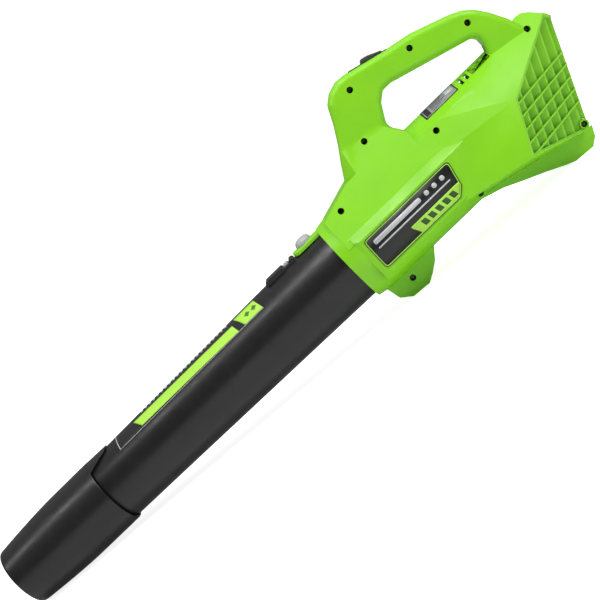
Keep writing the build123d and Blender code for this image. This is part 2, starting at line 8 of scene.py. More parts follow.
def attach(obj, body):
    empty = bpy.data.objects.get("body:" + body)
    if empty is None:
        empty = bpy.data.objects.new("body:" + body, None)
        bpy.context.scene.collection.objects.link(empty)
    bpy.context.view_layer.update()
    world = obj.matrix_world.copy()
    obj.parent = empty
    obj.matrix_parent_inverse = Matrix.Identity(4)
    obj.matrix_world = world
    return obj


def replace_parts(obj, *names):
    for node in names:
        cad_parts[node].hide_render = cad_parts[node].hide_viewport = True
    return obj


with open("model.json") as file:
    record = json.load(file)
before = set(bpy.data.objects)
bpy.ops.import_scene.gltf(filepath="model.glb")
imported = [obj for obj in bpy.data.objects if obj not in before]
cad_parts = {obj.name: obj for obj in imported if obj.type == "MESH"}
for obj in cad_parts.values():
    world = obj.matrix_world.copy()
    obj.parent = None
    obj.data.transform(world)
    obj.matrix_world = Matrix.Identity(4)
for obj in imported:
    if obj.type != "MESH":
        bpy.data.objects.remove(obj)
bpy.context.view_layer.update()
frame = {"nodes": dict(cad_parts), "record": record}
record = frame["record"]
print("frame loaded")

# The tool's own axes, in millimetres: x along the air axis to the nozzle, y to the left, z up.
outletMount = next(m for m in record["mounts"] if m["name"] == "nozzle_outlet")
outletX = 564.0
axisX = Vector(outletMount["axis"]).normalized()
axisY = Vector((0, 1, 0))
axisZ = axisX.cross(axisY).normalized()
toolOrigin = Vector(outletMount["pos_m"]) - axisX * outletX / 1000


def place(x, y, z):
    return toolOrigin + (axisX * x + axisY * y + axisZ * z) / 1000


def around(x, radius, angle):
    # a point at a distance from the air axis; the angle counts from the top towards the left side
    return place(x, radius * math.sin(angle), radius * math.cos(angle))


def rangeNode(tree, value, low, high, toLow, toHigh):
    node = tree.nodes.new("ShaderNodeMapRange")
    tree.links.new(value, node.inputs["Value"])
    for label, amount in (("From Min", low), ("From Max", high), ("To Min", toLow), ("To Max", toHigh)):
        node.inputs[label].default_value = amount
    return node.outputs["Result"]


camera = dict(distance=1557, raised=7.0, aimX=135.6, aimZ=6.5, roll=44.76, lens=86.5)
light = dict(lowRoom=0.03, highRoom=0.50, skyLevel=1.05, keyPower=6.0, keySize=0.6, fillPower=0.3, fillSize=1.4,
             rimPower=8, rimSize=0.8, stripPower=9.0, stripSize=0.22, stripLength=2.2)
floorGlow = dict(seen=0.85, bounce=0.10)


def makeCamera():
    data = bpy.data.cameras.new("mainCamera")
    data.lens = camera["lens"]
    data.sensor_width = 36
    data.clip_start = 0.05
    data.clip_end = 50
    obj = bpy.data.objects.new("mainCamera", data)
    raised = math.radians(camera["raised"])
    spot = place(0, camera["distance"] * math.cos(raised), camera["distance"] * math.sin(raised))
    aim = place(camera["aimX"], 0, camera["aimZ"]) - spot
    back = -aim.normalized()
    right = axisZ.cross(back).normalized()
    up = back.cross(right)
    turn = Matrix.Rotation(math.radians(-camera["roll"]), 3, back)
    basis = Matrix((turn @ right, turn @ up, back)).transposed()
    obj.matrix_world = Matrix.Translation(spot) @ basis.to_4x4()
    bpy.context.scene.collection.objects.link(obj)
    bpy.context.scene.camera = obj


def makeArea(name, spot, target, power, size, length=None):
    data = bpy.data.lights.new(name, "AREA")
    data.energy = power
    data.shape = "RECTANGLE" if length else "DISK"
    data.size = length or size
    if length:
        data.size_y = size
    obj = bpy.data.objects.new(name, data)
    obj.location = spot
    obj.rotation_mode = "QUATERNION"
    obj.rotation_quaternion = (target - spot).to_track_quat("-Z", "Y")
    bpy.context.scene.collection.objects.link(obj)


def makeStage():
    # a white room that looks brighter straight to the camera than it lights the tool
    world = bpy.data.worlds.new("studioWorld")
    world.use_nodes = True
    tree = world.node_tree
    background = tree.nodes["Background"]
    background.inputs["Color"].default_value = (1.0, 1.0, 1.0, 1)
    direction = tree.nodes.new("ShaderNodeTexCoord").outputs["Generated"]
    split = tree.nodes.new("ShaderNodeSeparateXYZ")
    tree.links.new(direction, split.inputs[0])
    room = rangeNode(tree, split.outputs["Z"], -0.1, 0.9, light["lowRoom"], light["highRoom"])
    seen = tree.nodes.new("ShaderNodeLightPath").outputs["Is Camera Ray"]
    level = tree.nodes.new("ShaderNodeMix")
    tree.links.new(seen, level.inputs[0])
    tree.links.new(room, level.inputs[2])
    level.inputs[3].default_value = light["skyLevel"]
    tree.links.new(level.outputs[0], background.inputs["Strength"])
    bpy.context.scene.world = world
    bpy.context.scene.view_settings.view_transform = "Standard"
    middle = place(60, 0, 20)
    makeArea("keyLight", place(-80, 430, 1250), middle, light["keyPower"], light["keySize"])
    makeArea("stripLight", place(520, 470, 1250), place(520, 0, 20), light["stripPower"], light["stripSize"],
             light["stripLength"])
    makeArea("fillLight", place(900, 1100, 250), middle, light["fillPower"], light["fillSize"])
    makeArea("rimLight", place(-1000, 420, 950), middle, light["rimPower"], light["rimSize"])
    mesh = bpy.data.meshes.new("studioFloor")
    mesh.from_pydata([(-9, -9, 0), (9, -9, 0), (9, 9, 0), (-9, 9, 0)], [], [(0, 1, 2, 3)])
    floor = bpy.data.objects.new("studioFloor", mesh)
    bpy.context.scene.collection.objects.link(floor)
    paint = bpy.data.materials.new("paleFloor")
    paint.use_nodes = True
    shader = paint.node_tree.nodes["Principled BSDF"]
    shader.inputs["Base Color"].default_value = (0.92, 0.92, 0.92, 1)
    shader.inputs["Roughness"].default_value = 0.9
    shader.inputs["Emission Color"].default_value = (1, 1, 1, 1)
    seen = paint.node_tree.nodes.new("ShaderNodeLightPath").outputs["Is Camera Ray"]
    glow = rangeNode(paint.node_tree, seen, 0, 1, floorGlow["bounce"], floorGlow["seen"])
    paint.node_tree.links.new(glow, shader.inputs["Emission Strength"])
    mesh.materials.append(paint)


makeCamera()
makeStage()
print("camera and stage ready")


def newGroup(name, inputs, outputs):
    group = bpy.data.node_groups.new(name, "ShaderNodeTree")
    for label, kind, value in inputs:
        socket = group.interface.new_socket(label, in_out="INPUT", socket_type=kind)
        socket.default_value = value
    for label, kind in outputs:
        group.interface.new_socket(label, in_out="OUTPUT", socket_type=kind)
    start = group.nodes.new("NodeGroupInput")
    end = group.nodes.new("NodeGroupOutput")
    return group, start, end


def mathNode(tree, operation, first, second=None, third=None):
    node = tree.nodes.new("ShaderNodeMath")
    node.operation = operation
    for index, value in enumerate((first, second, third)):
        if value is None:
            continue
        if isinstance(value, (int, float)):
            node.inputs[index].default_value = value
        else:
            tree.links.new(value, node.inputs[index])
    return node.outputs[0]


def noiseNode(tree, vector, scale, detail=2.0, roughness=0.5):
    node = tree.nodes.new("ShaderNodeTexNoise")
    tree.links.new(vector, node.inputs["Vector"])
    for label, value in (("Scale", scale), ("Detail", detail), ("Roughness", roughness)):
        if isinstance(value, (int, float)):
            node.inputs[label].default_value = value
        else:
            tree.links.new(value, node.inputs[label])
    return node.outputs["Fac"]


def makeGrain():
    # spark eroded mould texture: fine pebbles and a slow waviness
    group, start, end = newGroup(
        "mouldGrain",
        [("Pebbles Per Metre", "NodeSocketFloat", 1800.0), ("Wave Per Metre", "NodeSocketFloat", 30.0)],
        [("Height", "NodeSocketFloat"), ("Tone", "NodeSocketFloat")],
    )
    where = group.nodes.new("ShaderNodeTexCoord").outputs["Object"]
    fine = noiseNode(group, where, start.outputs["Pebbles Per Metre"], 3.0, 0.6)
    slow = noiseNode(group, where, start.outputs["Wave Per Metre"], 2.0, 0.5)
    total = mathNode(group, "MULTIPLY_ADD", slow, 0.6, fine)
    group.links.new(total, end.inputs["Height"])
    group.links.new(slow, end.inputs["Tone"])
    return group


def makeWear():
    # edges rub paler and smoother: the rounded normal leaves the true one there
    group, start, end = newGroup(
        "edgeRub",
        [("Reach", "NodeSocketFloat", 0.0008), ("Breakup Per Metre", "NodeSocketFloat", 260.0)],
        [("Mask", "NodeSocketFloat")],
    )
    nodes, links = group.nodes, group.links
    soft = nodes.new("ShaderNodeBevel")
    soft.samples = 4
    links.new(start.outputs["Reach"], soft.inputs["Radius"])
    geometry = nodes.new("ShaderNodeNewGeometry")
    dot = nodes.new("ShaderNodeVectorMath")
    dot.operation = "DOT_PRODUCT"
    links.new(soft.outputs["Normal"], dot.inputs[0])
    links.new(geometry.outputs["Normal"], dot.inputs[1])
    edge = rangeNode(group, dot.outputs["Value"], 0.995, 0.90, 0.0, 1.0)
    where = nodes.new("ShaderNodeTexCoord").outputs["Object"]
    patches = noiseNode(group, where, start.outputs["Breakup Per Metre"], 3.0, 0.6)
    patchy = rangeNode(group, patches, 0.42, 0.62, 0.15, 1.0)
    links.new(mathNode(group, "MULTIPLY", edge, patchy), end.inputs["Mask"])
    return group


def makeDust():
    # a thin uneven film, a little more on faces that look up
    group, start, end = newGroup(
        "dustFilm",
        [("Spots Per Metre", "NodeSocketFloat", 90.0)],
        [("Mask", "NodeSocketFloat")],
    )
    nodes, links = group.nodes, group.links
    where = nodes.new("ShaderNodeTexCoord").outputs["Object"]
    cloud = noiseNode(group, where, start.outputs["Spots Per Metre"], 5.0, 0.65)
    geometry = nodes.new("ShaderNodeNewGeometry")
    split = nodes.new("ShaderNodeSeparateXYZ")
    links.new(geometry.outputs["Normal"], split.inputs[0])
    facing = rangeNode(group, split.outputs["Z"], -0.4, 1.0, 0.35, 1.0)
    film = rangeNode(group, cloud, 0.45, 0.75, 0.0, 1.0)
    links.new(mathNode(group, "MULTIPLY", facing, film), end.inputs["Mask"])
    return group


grainGroup = makeGrain()
wearGroup = makeWear()
dustGroup = makeDust()


def mixColor(tree, factor, first, second):
    node = tree.nodes.new("ShaderNodeMix")
    node.data_type = "RGBA"
    if isinstance(factor, (int, float)):
        node.inputs[0].default_value = factor
    else:
        tree.links.new(factor, node.inputs[0])
    for index, value in ((6, first), (7, second)):
        if isinstance(value, tuple):
            node.inputs[index].default_value = (*value, 1)
        else:
            tree.links.new(value, node.inputs[index])
    return node.outputs[2]


def placeGroup(tree, group, **values):
    node = tree.nodes.new("ShaderNodeGroup")
    node.node_tree = group
    for label, value in values.items():
        node.inputs[label.replace("_", " ")].default_value = value
    return node


def mouldedPlastic(name, color, shade, rough, pebbles=1800.0, bump=0.05, wear=0.35, dust=0.06, wearColor=None):
    mat = bpy.data.materials.new(name)
    mat.use_nodes = True
    tree = mat.node_tree
    shader = tree.nodes["Principled BSDF"]
    grain = placeGroup(tree, grainGroup, Pebbles_Per_Metre=pebbles)
    rub = placeGroup(tree, wearGroup)
    film = placeGroup(tree, dustGroup)
    base = mixColor(tree, rangeNode(tree, grain.outputs["Tone"], 0.3, 0.7, 0.0, 1.0), color, shade)
    pale = wearColor or tuple(min(1.0, c * 1.25 + 0.03) for c in color)
    worn = mixColor(tree, mathNode(tree, "MULTIPLY", rub.outputs["Mask"], wear), base, pale)
    dusty = mixColor(tree, mathNode(tree, "MULTIPLY", film.outputs["Mask"], dust), worn, (0.42, 0.40, 0.36))
    tree.links.new(dusty, shader.inputs["Base Color"])
    gloss = rangeNode(tree, grain.outputs["Tone"], 0.3, 0.7, rough - 0.05, rough + 0.05)
    polished = mathNode(tree, "MULTIPLY_ADD", rub.outputs["Mask"], -0.10, gloss)
    settled = mathNode(tree, "MULTIPLY_ADD", film.outputs["Mask"], 0.12, polished)
    tree.links.new(settled, shader.inputs["Roughness"])
    bumpNode = tree.nodes.new("ShaderNodeBump")
    bumpNode.inputs["Strength"].default_value = bump
    bumpNode.inputs["Distance"].default_value = 0.0004
    tree.links.new(grain.outputs["Height"], bumpNode.inputs["Height"])
    tree.links.new(bumpNode.outputs["Normal"], shader.inputs["Normal"])
    shader.inputs["Specular IOR Level"].default_value = 0.40
    return mat


def metalFinish(name, color, rough, streak=400.0, bump=0.04):
    mat = bpy.data.materials.new(name)
    mat.use_nodes = True
    tree = mat.node_tree
    shader = tree.nodes["Principled BSDF"]
    shader.inputs["Metallic"].default_value = 1.0
    where = tree.nodes.new("ShaderNodeTexCoord").outputs["Object"]
    stretch = tree.nodes.new("ShaderNodeMapping")
    stretch.inputs["Scale"].default_value = (1.0, 9.0, 9.0)
    tree.links.new(where, stretch.inputs["Vector"])
    lines = noiseNode(tree, stretch.outputs["Vector"], streak, 4.0, 0.6)
    dark = tuple(c * 0.72 for c in color)
    tree.links.new(mixColor(tree, lines, dark, color), shader.inputs["Base Color"])
    tree.links.new(rangeNode(tree, lines, 0.3, 0.7, rough - 0.08, rough + 0.10), shader.inputs["Roughness"])
    bumpNode = tree.nodes.new("ShaderNodeBump")
    bumpNode.inputs["Strength"].default_value = bump
    bumpNode.inputs["Distance"].default_value = 0.0002
    tree.links.new(lines, bumpNode.inputs["Height"])
    tree.links.new(bumpNode.outputs["Normal"], shader.inputs["Normal"])
    return mat


limeColor = (0.225, 0.62, 0.006)
limeShade = (0.205, 0.585, 0.005)
finishes = {
    "housing_green": mouldedPlastic("limePlastic", limeColor, limeShade, 0.38, 1500.0, 0.03, 0.35, 0.012),
    "tube_black": mouldedPlastic("tubePlastic", (0.0075, 0.0075, 0.008), (0.0055, 0.0055, 0.006),
                                 0.31, 2200.0, 0.04, 0.3, 0.004),
    "duct_black": mouldedPlastic("ductPlastic", (0.022, 0.022, 0.023), (0.015, 0.015, 0.016),
                                 0.50, 1800.0, 0.10),
    "fan_black": mouldedPlastic("fanPlastic", (0.028, 0.028, 0.030), (0.018, 0.018, 0.019),
                                0.42, 1600.0, 0.08),
    "button_grey": mouldedPlastic("buttonPlastic", (0.42, 0.44, 0.43), (0.37, 0.39, 0.38),
                                  0.34, 2000.0, 0.05),
    "knob_grey": mouldedPlastic("knobPlastic", (0.060, 0.062, 0.066), (0.045, 0.046, 0.050),
                                0.45, 2000.0, 0.10),
    "bezel_dark": mouldedPlastic("bezelPlastic", (0.016, 0.016, 0.017), (0.012, 0.012, 0.013),
                                 0.50, 2200.0, 0.10),
    "cap_black": mouldedPlastic("capPlastic", (0.03, 0.03, 0.03), (0.02, 0.02, 0.02), 0.55),
    "board_green": mouldedPlastic("boardMask", (0.01, 0.10, 0.04), (0.008, 0.08, 0.03), 0.30),
    "screw_steel": metalFinish("screwSteel", (0.10, 0.10, 0.105), 0.38),
    "spring_steel": metalFinish("springSteel", (0.55, 0.55, 0.57), 0.30),
    "shaft_steel": metalFinish("shaftSteel", (0.60, 0.60, 0.62), 0.22),
    "can_steel": metalFinish("canSteel", (0.48, 0.48, 0.50), 0.34),
    "rotor_copper": metalFinish("rotorCopper", (0.50, 0.26, 0.14), 0.40),
    "magnet_dark": metalFinish("magnetFerrite", (0.06, 0.06, 0.065), 0.55),
    "badge_film": mouldedPlastic("badgeFilm", (0.010, 0.010, 0.012), (0.008, 0.008, 0.010),
                                 0.32, 900.0, 0.02, 0.2, 0.006),
    "label_film": mouldedPlastic("labelFoil", (0.30, 0.31, 0.32), (0.24, 0.25, 0.26), 0.34, 900.0, 0.03),
    "decal_film": mouldedPlastic("decalFilm", (0.009, 0.009, 0.010), (0.007, 0.007, 0.008),
                                 0.34, 900.0, 0.02, 0.2, 0.006),
    "print_lime": mouldedPlastic("limePrint", (0.42, 0.80, 0.07), (0.38, 0.74, 0.06),
                                 0.40, 900.0, 0.02, 0.1),
    "print_pale": mouldedPlastic("palePrint", (0.55, 0.56, 0.57), (0.50, 0.51, 0.52),
                                 0.42, 900.0, 0.02, 0.1),
    "print_dark": mouldedPlastic("darkPrint", (0.03, 0.09, 0.01), (0.02, 0.07, 0.01),
                                 0.42, 900.0, 0.02, 0.1),
}
slotOf = {s["node"]: s["material_slot"] for s in record["subparts"]}
print("finishes ready")


def dressNode(node):
    # a carried-over piece keeps its mesh and gets its finish
    obj = frame["nodes"][node]
    finish = finishes[slotOf[node]]
    if obj.material_slots:
        for slot in obj.material_slots:
            slot.material = finish
    else:
        obj.data.materials.append(finish)


for nodeName in frame["nodes"]:
    dressNode(nodeName)


bodyOf = {node: body for body, nodes in record["behaviour"]["bodies"].items() for node in nodes}


def addPiece(name, mesh, finish, body):
    obj = bpy.data.objects.new(name, mesh)
    bpy.context.scene.collection.objects.link(obj)
    mesh.materials.clear()
    mesh.materials.append(finishes[finish])
    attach(obj, body)
    return obj


def buildMesh(name, points, faces):
    # closed mesh with faces turned outwards and smooth shading
    mesh = bpy.data.meshes.new(name)
    mesh.from_pydata(points, [], faces)
    bm = bmesh.new()
    bm.from_mesh(mesh)
    bmesh.ops.recalc_face_normals(bm, faces=bm.faces)
    for face in bm.faces:
        face.smooth = True
    bm.to_mesh(mesh)
    bm.free()
    return mesh


def turnedMesh(name, profile, segments=128, where=around):
    # a closed (x, radius) loop turned about the air axis
    points, faces = [], []
    count = len(profile)
    for step in range(segments):
        angle = 2 * math.pi * step / segments
        points += [where(x, r, angle) for x, r in profile]
    for step in range(segments):
        near, far = step * count, ((step + 1) % segments) * count
        for i in range(count):
            j = (i + 1) % count
            faces.append((near + i, near + j, far + j, far + i))
    return buildMesh(name, points, faces)


def drilledMesh(mesh, cutter):
    # the mesh less the cutter, as a plain mesh
    body, drill = bpy.data.objects.new("drillBody", mesh), bpy.data.objects.new("drillTool", cutter)
    for item in (body, drill):
        bpy.context.scene.collection.objects.link(item)
    cut = body.modifiers.new("cut", "BOOLEAN")
    cut.operation, cut.solver, cut.object = "DIFFERENCE", "EXACT", drill
    graph = bpy.context.evaluated_depsgraph_get()
    result = bpy.data.meshes.new_from_object(body.evaluated_get(graph))
    for item in (body, drill):
        bpy.data.objects.remove(item)
    return result


def roundedOutline(corners, radius, steps=5):
    # replaces every corner of a polygon by an arc
    result = []
    for index, corner in enumerate(corners):
        here = Vector(corner)
        before = (Vector(corners[index - 1]) - here)
        after = (Vector(corners[(index + 1) % len(corners)]) - here)
        half = before.angle(after) / 2
        reach = min(radius / math.tan(half), before.length * 0.45, after.length * 0.45)
        first, last = here + before.normalized() * reach, here + after.normalized() * reach
        for step in range(steps + 1):
            t = step / steps
            result.append(tuple(first.lerp(here, t).lerp(here.lerp(last, t), t)))
    return result


def prismMesh(name, outline, low, high, where):
    # an outline (u, v) between two depths, placed by where(u, v, depth)
    count = len(outline)
    points = [where(u, v, low) for u, v in outline] + [where(u, v, high) for u, v in outline]
    faces = [tuple(range(count)), tuple(range(2 * count - 1, count - 1, -1))]
    faces += [(i, (i + 1) % count, count + (i + 1) % count, count + i) for i in range(count)]
    return buildMesh(name, points, faces)


def ringMesh(name, outer, inner, low, high, where):
    # a closed band between two outlines with the same number of points
    count = len(outer)
    points = []
    for outline, depth in ((outer, low), (outer, high), (inner, high), (inner, low)):
        points += [where(u, v, depth) for u, v in outline]
    faces = []
    for row in range(4):
        for i in range(count):
            j = (i + 1) % count
            near, far = row * count, ((row + 1) % 4) * count
            faces.append((near + i, near + j, far + j, far + i))
    return buildMesh(name, points, faces)


def patchMesh(name, corners, low, high, where, along=24, across=8):
    # a four cornered patch bent over a surface, with thickness
    a, b, c, d = (Vector(corner) for corner in corners)
    points, faces = [], []
    for depth in (low, high):
        for i in range(along + 1):
            for j in range(across + 1):
                u, v = a.lerp(b, i / along).lerp(d.lerp(c, i / along), j / across)
                points.append(where(u, v, depth))
    row, sheet = across + 1, (along + 1) * (across + 1)
    for i in range(along):
        for j in range(across):
            k = i * row + j
            faces.append((k, k + 1, k + row + 1, k + row))
            faces.append((sheet + k, sheet + k + row, sheet + k + row + 1, sheet + k + 1))
    edge = [i * row for i in range(along)] + [along * row + j for j in range(across)]
    edge += [i * row + across for i in range(along, 0, -1)] + [j for j in range(across, 0, -1)]
    for index, k in enumerate(edge):
        n = edge[(index + 1) % len(edge)]
        faces.append((k, n, sheet + n, sheet + k))
    return buildMesh(name, points, faces)


def mergedMesh(node, name, flat=0.35, crease=None):
    # one shell per lump; with a crease angle the edges stay sharp instead of being dissolved and rounded
    mesh = frame["nodes"][node].data.copy()
    mesh.name = name
    bm = bmesh.new()
    bm.from_mesh(mesh)
    bmesh.ops.remove_doubles(bm, verts=bm.verts, dist=0.000004)
    if crease is None:
        bmesh.ops.dissolve_limit(bm, angle_limit=math.radians(flat), verts=bm.verts, edges=bm.edges)
    for face in bm.faces:
        face.smooth = True
    for edge in bm.edges:
        if crease is not None and edge.calc_face_angle(3.0) > math.radians(crease):
            edge.smooth = False
    bm.to_mesh(mesh)
    bm.free()
    return mesh


def softened(obj, width, segments=3, angle=26.0):
    bevel = obj.modifiers.new("edgeRadius", "BEVEL")
    bevel.width = width
    bevel.segments = segments
    bevel.limit_method = "ANGLE"
    bevel.angle_limit = math.radians(angle)
    bevel.use_clamp_overlap = True
    bevel.harden_normals = False
    bevel.miter_outer = "MITER_ARC"
    normals = obj.modifiers.new("faceNormals", "WEIGHTED_NORMAL")
    normals.mode = "FACE_AREA"
    normals.weight = 60
    normals.keep_sharp = True
    return obj


softPieces = {
    "housing_left": dict(width=0.0009, segments=3),
    "housing_right": dict(width=0.0009, segments=3),
    "slider_knob": dict(width=0.0005, segments=3),
    "slider_plate": dict(width=0.0003, segments=2),
}
for nodeName, sizes in softPieces.items():
    piece = addPiece(nodeName + ".soft", mergedMesh(nodeName, nodeName + ".soft"), slotOf[nodeName],
                     bodyOf[nodeName])
    softened(piece, sizes["width"], sizes["segments"])
    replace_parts(piece, nodeName)

for nodeName in ("intake_grille", "fan_impeller", "fan_duct", "tail_cone", "control_board", "switch_body"):
    piece = addPiece(nodeName + ".shell", mergedMesh(nodeName, nodeName + ".shell", crease=28), slotOf[nodeName],
                     bodyOf[nodeName])
    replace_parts(piece, nodeName)
print("housing and mouldings softened")


tube = dict(collarX=70, frontX=455, collarR=45.0, frontR=38.6)


def tubeRadius(x):
    share = (x - tube["collarX"]) / (tube["frontX"] - tube["collarX"])
    return tube["collarR"] + (tube["frontR"] - tube["collarR"]) * share


def besideAxis(u, v, y):
    return place(u, y, v)


def onTube(u, v, lift):
    # u along the air axis, v degrees from the top, lift above the tube
    return around(u, tubeRadius(u) + lift, math.radians(v))


def upright(z, r, angle):
    return place(89 + r * math.cos(angle), r * math.sin(angle), z)


tubeProfile = [(14, 41.9), (14.4, 43.6), (15, 44.0), (60.8, 44.0), (60.8, 44.9), (70, 44.9), (455 - 0.6, 38.6),
               (455, 38.1), (455, 36.7), (454.4, 36.3), (70, 42.1)]
cup = dict(inner=12.0, outer=13.4, low=31.0, high=42.8)
hole = [(20, 0.05), (20, cup["outer"] - 0.6), (60, cup["outer"] - 0.6), (60, 0.05)]
wall = drilledMesh(turnedMesh("tubeWall", tubeProfile), turnedMesh("buttonHole", hole, 96, upright))
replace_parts(addPiece("blower_tube.wall", wall, "tube_black", "tool"), "blower_tube")

latch = dict(half=13.0, bevel=0.0008)
latchOutline = [(108, 41.5), (108, 45.6), (109.8, 47.4), (113.4, 47.4), (115, 44.8), (123, 44.8), (124.8, 47.4),
                (147, 47.4), (149.6, 45.4), (149.6, 41.5)]
block = prismMesh("blower_tube.latch", latchOutline, -latch["half"], latch["half"], besideAxis)
piece = addPiece("blower_tube.latch", block, "tube_black", "tool")
softened(piece, latch["bevel"])
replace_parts(piece, "blower_tube")
tabOutline = roundedOutline([(115.9, 43.5), (115.9, 46.9), (122.1, 46.9), (122.1, 43.5)], 0.9)
piece = addPiece("blower_tube.tab", prismMesh("blower_tube.tab", tabOutline, -8.5, 8.5, besideAxis),
                 "button_grey", "tool")
softened(piece, 0.0005)
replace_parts(piece, "blower_tube")
cupProfile = [(cup["low"], cup["inner"]), (cup["low"], cup["outer"]), (cup["high"], cup["outer"]),
              (cup["high"], cup["inner"])]
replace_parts(addPiece("blower_tube.cup", turnedMesh("blower_tube.cup", cupProfile, 64, upright), "tube_black",
                     "tool"), "blower_tube")
print("tube ready")


nozzle = dict(rimX=428.0, tongueX=401.5, rootAngle=39.0, tipAngle=17.0, corner=0.16)


def nozzleProfile():
    outer = [(428, 39.6), (428, 41.0), (428.5, 41.5), (429.5, 41.75), (434, 41.8), (486, 41.6)]
    for step in range(1, 15):
        t = step / 14
        outer.append((486 + 82 * t, 41.6 - 5.0 * t ** 1.55))
    outer += [(569.6, 36.3), (570.6, 35.7), (571, 35.0), (571, 34.0), (570.4, 33.5), (557, 33.5), (520, 34.6),
              (459, 36.3), (455.3, 36.6), (455.3, 38.9)]
    return outer


def tongueEdge(t):
    # half angle of the tongue from its tip to the rim, with a rounded tip
    straight = nozzle["tipAngle"] + (nozzle["rootAngle"] - nozzle["tipAngle"]) * t
    if t < nozzle["corner"]:
        straight -= 7.0 * (1 - math.sqrt(1 - (1 - t / nozzle["corner"]) ** 2))
    return straight


def onTongue(u, v, depth):
    # u from tip to rim, v from one side to the other
    x = nozzle["tongueX"] + (nozzle["rimX"] + 1.5 - nozzle["tongueX"]) * u
    radius = tubeRadius(x) + 0.3 if depth < 0.5 else 40.9 + 0.65 * u
    return around(x, radius, math.radians(tongueEdge(u) * v))


piece = addPiece("nozzle.shell", turnedMesh("nozzle.shell", nozzleProfile()), "tube_black", "nozzle")
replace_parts(piece, "nozzle")
piece = addPiece("nozzle.tongue", patchMesh("nozzle.tongue", [(0, -1), (1, -1), (1, 1), (0, 1)], 0, 1, onTongue,
                                            36, 40), "tube_black", "nozzle")
softened(piece, 0.0005, 3, 40)
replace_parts(piece, "nozzle")
print("nozzle ready")


dome = dict(radius=10.0, flange=11.6, top=55.3, flat=3.0)


def domeProfile():
    rise, spread = dome["top"] - 49.0, dome["radius"] - dome["flat"]
    profile = [(42.7, 5.4), (40.6, 5.6), (40.6, dome["flange"] - 0.2), (42.4, dome["flange"] - 0.2),
               (42.6, dome["radius"]), (48.8, dome["radius"])]
    for step in range(1, 15):
        angle = math.pi / 2 * step / 14
        profile.append((49.0 + rise * math.sin(angle), dome["flat"] + spread * math.cos(angle)))
    return profile + [(dome["top"] - 0.4, 2.4), (dome["top"] - 0.5, 0.02), (50, 0.02), (48.6, 5.2)]


piece = addPiece("lock_button.dome", turnedMesh("lock_button.dome", domeProfile(), 72, upright), "button_grey",
                 "button")
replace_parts(piece, "lock_button")
print("lock button ready")


decal = dict(film=0.10, ink=0.16, marks=22)
film = patchMesh("tube_decal.film", [(165, -44), (386, -44), (386, 44), (165, 44)], 0.0, decal["film"], onTube,
                 40, 40)
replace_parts(addPiece("tube_decal.film", film, "decal_film", "tool"), "tube_decal")


def decalInk(name, corners, finish, along=24, across=6):
    piece = addPiece("tube_decal." + name, patchMesh(name, corners, decal["film"] - 0.02, decal["ink"], onTube,
                                                     along, across), finish, "tool")
    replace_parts(piece, "tube_decal")


for side, label in ((1, "left"), (-1, "right")):
    decalInk("stripe." + label, [(206, 23 * side), (358, 17 * side), (350, 39.5 * side), (203, 42.6 * side)],
             "print_lime", 48, 8)
    decalInk("stripeLine." + label,
             [(206, 20.2 * side), (359, 15.2 * side), (358.4, 16.4 * side), (206, 21.4 * side)],
             "print_dark", 48, 2)
    decalInk("block." + label, [(172, 10 * side), (202, 10 * side), (193, 42.6 * side), (166.5, 42.6 * side)],
             "print_lime", 12, 8)
    for number, start in enumerate((175, 185)):
        diamond = [(start, 22 * side), (start + 4, 28 * side), (start, 34 * side), (start - 4, 28 * side)]
        decalInk("mark%d.%s" % (number, label), diamond, "print_dark", 4, 4)
    rim = [(166, 43.1 * side), (384.6, 43.1 * side), (384.6, 43.8 * side), (166, 43.8 * side)]
    decalInk("rim." + label, rim, "print_pale", 48, 1)
decalInk("rimFront", [(384.4, -43.8), (385.4, -43.8), (385.4, 43.8), (384.4, 43.8)], "print_pale", 1, 40)
for number in range(decal["marks"]):
    start = 212 + 6.2 * number
    dash = [(start, -9), (start + 3.2, -9), (start + 3.2, 9), (start, 9)]
    decalInk("dash%02d" % number, dash, "print_pale", 1, 8)
print("tube decal ready")


badge = dict(film=0.5, ink=0.62)
badgeCorners = [(42, 10.5), (43, -27.5), (-64, -27.5), (-73, -19), (-80, 10.5)]


def shrunk(corners, amount):
    # moves every side of a polygon inwards
    result = []
    area = sum(a[0] * b[1] - b[0] * a[1] for a, b in zip(corners, corners[1:] + corners[:1]))
    turn = 1 if area > 0 else -1
    for index, corner in enumerate(corners):
        here = Vector(corner)
        back = (here - Vector(corners[index - 1])).normalized()
        ahead = (Vector(corners[(index + 1) % len(corners)]) - here).normalized()
        inward = Vector((-back.y, back.x)) * turn
        other = Vector((-ahead.y, ahead.x)) * turn
        push = (inward + other) / (1 + inward.dot(other))
        result.append(tuple(here + push * amount))
    return result


